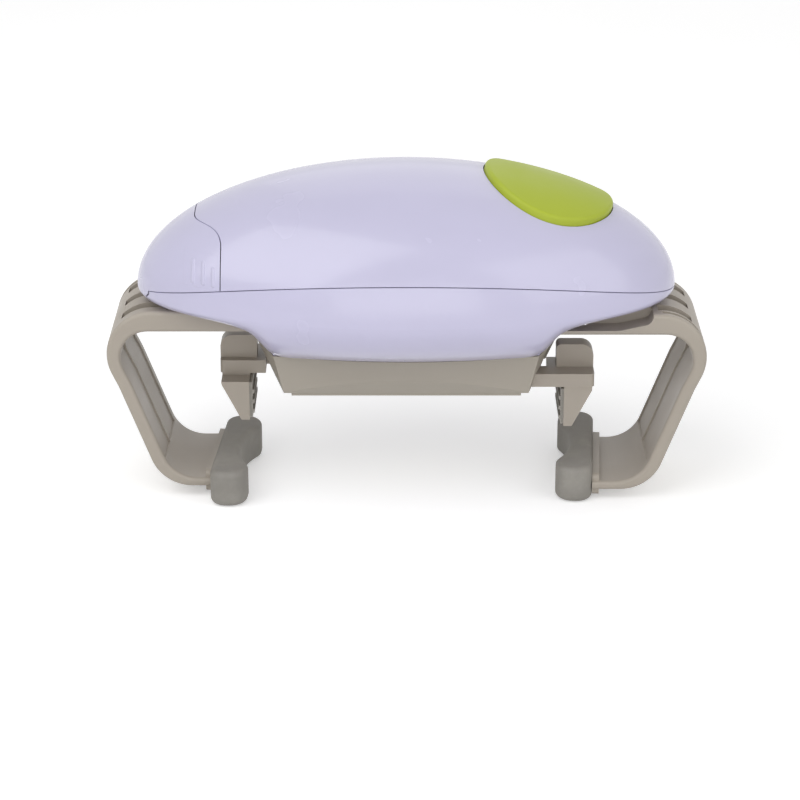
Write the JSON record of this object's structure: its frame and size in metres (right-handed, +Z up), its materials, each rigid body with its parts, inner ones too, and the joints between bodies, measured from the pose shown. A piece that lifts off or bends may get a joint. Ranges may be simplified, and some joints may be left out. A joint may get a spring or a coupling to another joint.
{
  "type": "electric jar opener",
  "caption": "Battery jar opener: boat-shaped housing with sliding C arms that hold the jar and a turning gripper whose jaws hold the lid",
  "frame": {"origin": "centre of the bounding box in plan, at the undersides of the jar pads; it lies on the turning axis of the lid gripper", "axes": "+X along the housing toward the button end, +Y toward the back, +Z up"},
  "size_m": [0.1926, 0.094, 0.1076],
  "materials": {
    "lavender": "glossy moulded ABS",
    "green": "satin moulded ABS",
    "taupe": "satin moulded ABS",
    "pad_grey": "moulded grey elastomer",
    "taupe_inner": "satin moulded ABS",
    "nylon_white": "moulded acetal gear",
    "black_plastic": "moulded ABS",
    "steel": "turned steel",
    "zinc": "zinc plated steel",
    "bronze": "sintered bronze",
    "brass": "cut brass",
    "cell": "plain dark battery sleeve",
    "board": "glass fibre board"
  },
  "bodies": {
    "housing": {"upper_housing": "lavender", "lower_housing": "lavender", "housing_screws": "zinc", "spindle_bushing": "bronze", "gearbox_base": "black_plastic", "gearbox_cover": "black_plastic", "gearbox_screws": "zinc", "gear_axles": "steel", "motor_can": "zinc", "motor_end_cap": "black_plastic", "batteries": "cell", "battery_tray": "black_plastic", "fixed_contacts": "zinc", "circuit_board": "board", "micro_switch": "black_plastic", "board_screws": "zinc", "button_spring": "steel"},
    "left_arm": {"left_arm": "taupe", "left_jar_pad": "pad_grey"},
    "right_arm": {"right_arm": "taupe", "right_jar_pad": "pad_grey"},
    "arm_pinion": {"arm_pinion": "nylon_white"},
    "lid_gripper": {"lid_carrier": "taupe_inner", "lid_platen": "taupe_inner", "carrier_screws": "zinc", "drive_spindle": "steel", "main_gear": "nylon_white", "retaining_clip": "steel", "thrust_washer": "nylon_white"},
    "left_jaw": {"left_lid_jaw": "taupe", "left_jaw_pad": "pad_grey"},
    "right_jaw": {"right_lid_jaw": "taupe", "right_jaw_pad": "pad_grey"},
    "lid_pinion": {"lid_pinion": "nylon_white"},
    "second_gear": {"second_gear": "nylon_white"},
    "first_gear": {"first_gear": "nylon_white"},
    "motor_rotor": {"motor_shaft": "steel", "motor_pinion": "brass"},
    "start_button": {"start_button": "green"},
    "battery_cover": {"battery_cover": "lavender", "cover_contact": "zinc"}
  },
  "joints": [
    {"name": "left_arm_slide", "type": "slide", "parent": "housing", "child": "left_arm", "axis": [1, 0, 0], "range_m": [-0.004, 0.022]},
    {"name": "right_arm_slide", "type": "slide", "parent": "housing", "child": "right_arm", "axis": [1, 0, 0], "range_m": [-0.022, 0.004]},
    {"name": "arm_pinion_turn", "type": "hinge", "parent": "housing", "child": "arm_pinion", "pos_m": [0, 0, 0.06], "axis": [0, 0, 1], "range_deg": [-26, 141]},
    {"name": "gripper_turn", "type": "hinge", "parent": "housing", "child": "lid_gripper", "pos_m": [0, 0, 0.05], "axis": [0, 0, 1], "continuous": true},
    {"name": "second_gear_turn", "type": "hinge", "parent": "housing", "child": "second_gear", "pos_m": [0.0096, -0.01663, 0.073], "axis": [0, 0, 1], "continuous": true},
    {"name": "first_gear_turn", "type": "hinge", "parent": "housing", "child": "first_gear", "pos_m": [0.02764, -0.01006, 0.076], "axis": [0, 0, 1], "continuous": true},
    {"name": "motor_turn", "type": "hinge", "parent": "housing", "child": "motor_rotor", "pos_m": [0.02108, 0.00798, 0.078], "axis": [0, 0, 1], "continuous": true},
    {"name": "left_jaw_slide", "type": "slide", "parent": "lid_gripper", "child": "left_jaw", "axis": [1, 0, 0], "range_m": [0, 0.03]},
    {"name": "right_jaw_slide", "type": "slide", "parent": "lid_gripper", "child": "right_jaw", "axis": [1, 0, 0], "range_m": [-0.03, 0]},
    {"name": "lid_pinion_turn", "type": "hinge", "parent": "lid_gripper", "child": "lid_pinion", "pos_m": [0, 0, 0.039], "axis": [0, 0, 1], "range_deg": [-288, 0]},
    {"name": "button_press", "type": "slide", "parent": "housing", "child": "start_button", "axis": [-0.2721, 0, -0.9623], "range_m": [0, 0.0022], "stiffness_N_per_m": 600, "springref_m": -0.001, "deforming": ["button_spring"]},
    {"name": "battery_cover_slide", "type": "slide", "parent": "housing", "child": "battery_cover", "axis": [-1, 0, 0], "range_m": [0, 0.03]}
  ],
  "couplings": [
    {"joint": "right_arm_slide", "follows": "left_arm_slide", "ratio": -1},
    {"joint": "arm_pinion_turn", "follows": "left_arm_slide", "rad_per_m": 111.11},
    {"joint": "second_gear_turn", "follows": "gripper_turn", "ratio": -3},
    {"joint": "first_gear_turn", "follows": "gripper_turn", "ratio": 9},
    {"joint": "motor_turn", "follows": "gripper_turn", "ratio": -27},
    {"joint": "right_jaw_slide", "follows": "left_jaw_slide", "ratio": -1},
    {"joint": "lid_pinion_turn", "follows": "left_jaw_slide", "rad_per_m": -166.67}
  ]
}
